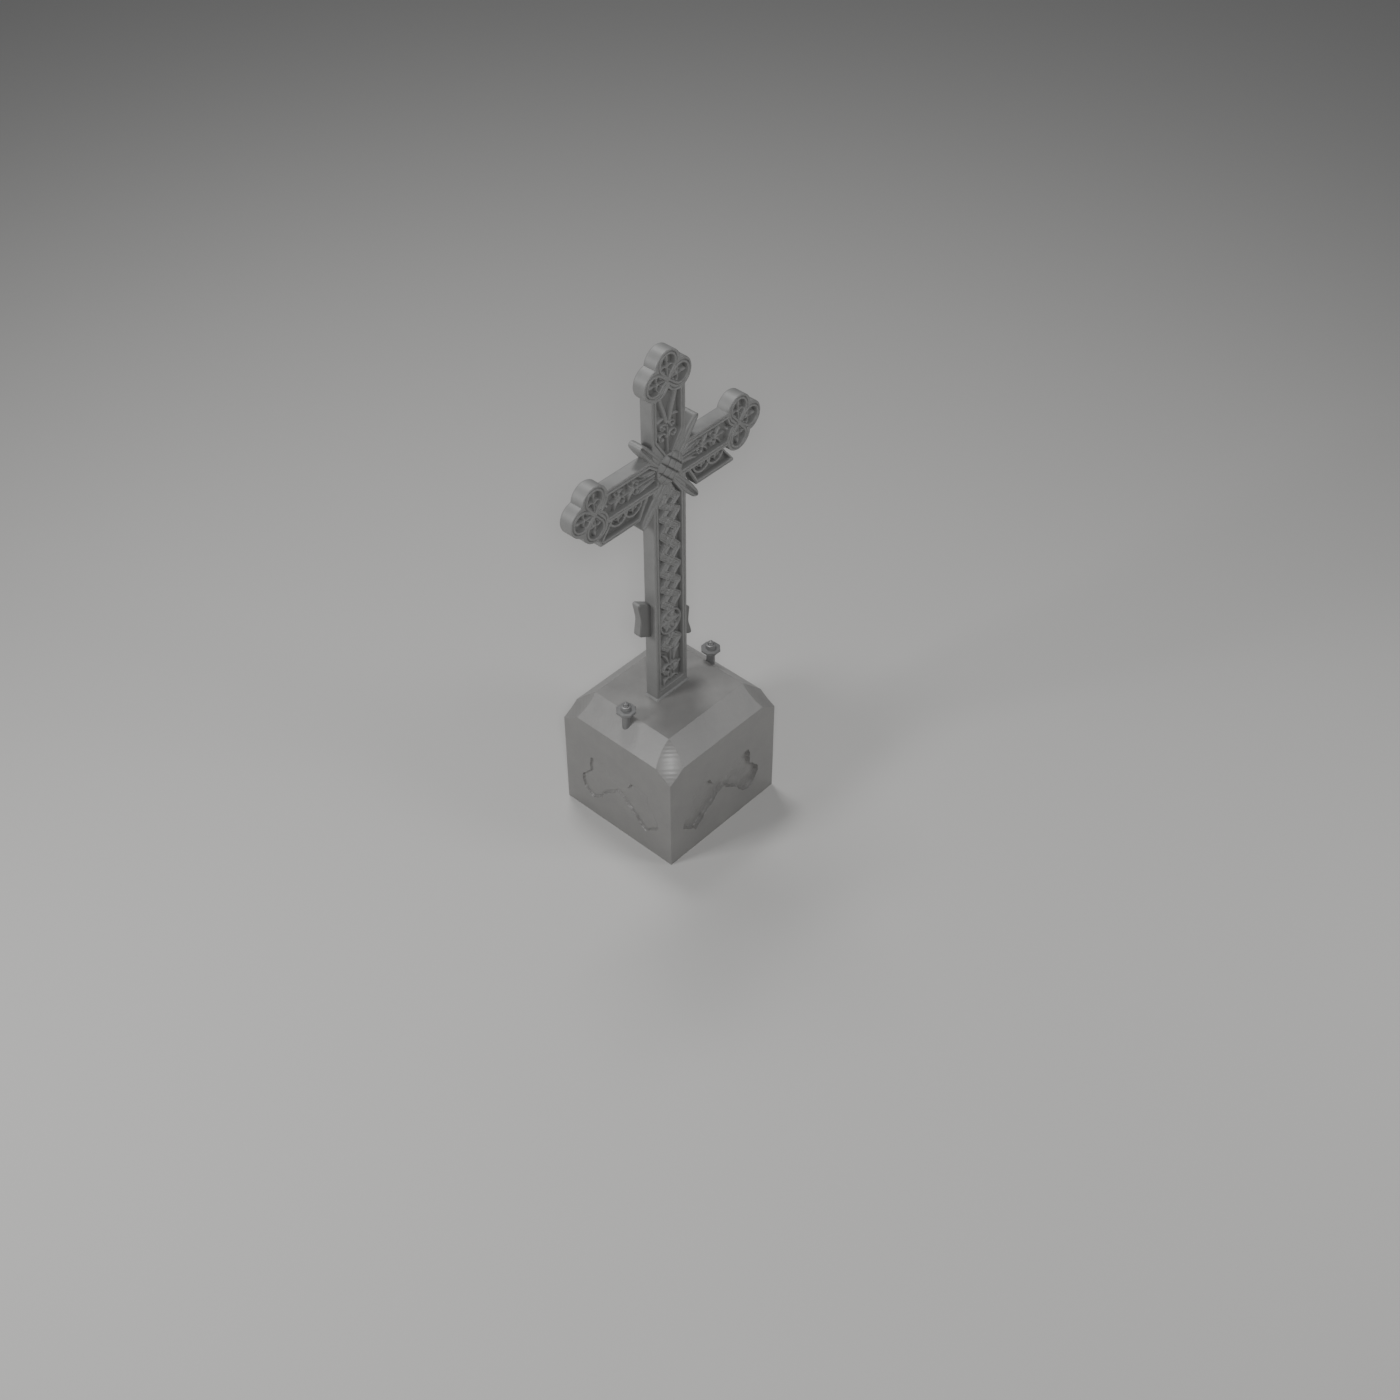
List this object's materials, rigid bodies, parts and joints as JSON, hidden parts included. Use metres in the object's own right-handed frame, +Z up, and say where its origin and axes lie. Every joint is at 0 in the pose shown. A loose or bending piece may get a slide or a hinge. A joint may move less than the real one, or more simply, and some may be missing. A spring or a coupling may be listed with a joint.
{
  "type": "grave cross on a plinth",
  "caption": "Cast grave cross with budded trefoil ends, carved recesses, a scored boss and a slanted foot bar, on a dressed stone plinth with flaked patches and flanged anchor studs.",
  "frame": {"origin": "middle of the plinth's underside", "axes": "+Z up along the cross's shaft, +X along the arms towards the cross's left hand seen from the front's own side (right in a front view), -Y out of the carved front"},
  "size_m": [0.6772, 0.396, 1.4709],
  "materials": {
    "dressed_stone": "dressed grey stone, matt",
    "cast_iron": "weathered grey cast iron, matt",
    "forged_steel": "dull grey forged steel"
  },
  "bodies": {
    "root": {"plinth": "dressed_stone", "cross": "cast_iron", "anchor_stud_left": "forged_steel", "anchor_stud_right": "forged_steel", "flange_nut_left": "forged_steel", "flange_nut_right": "forged_steel"}
  },
  "joints": []
}
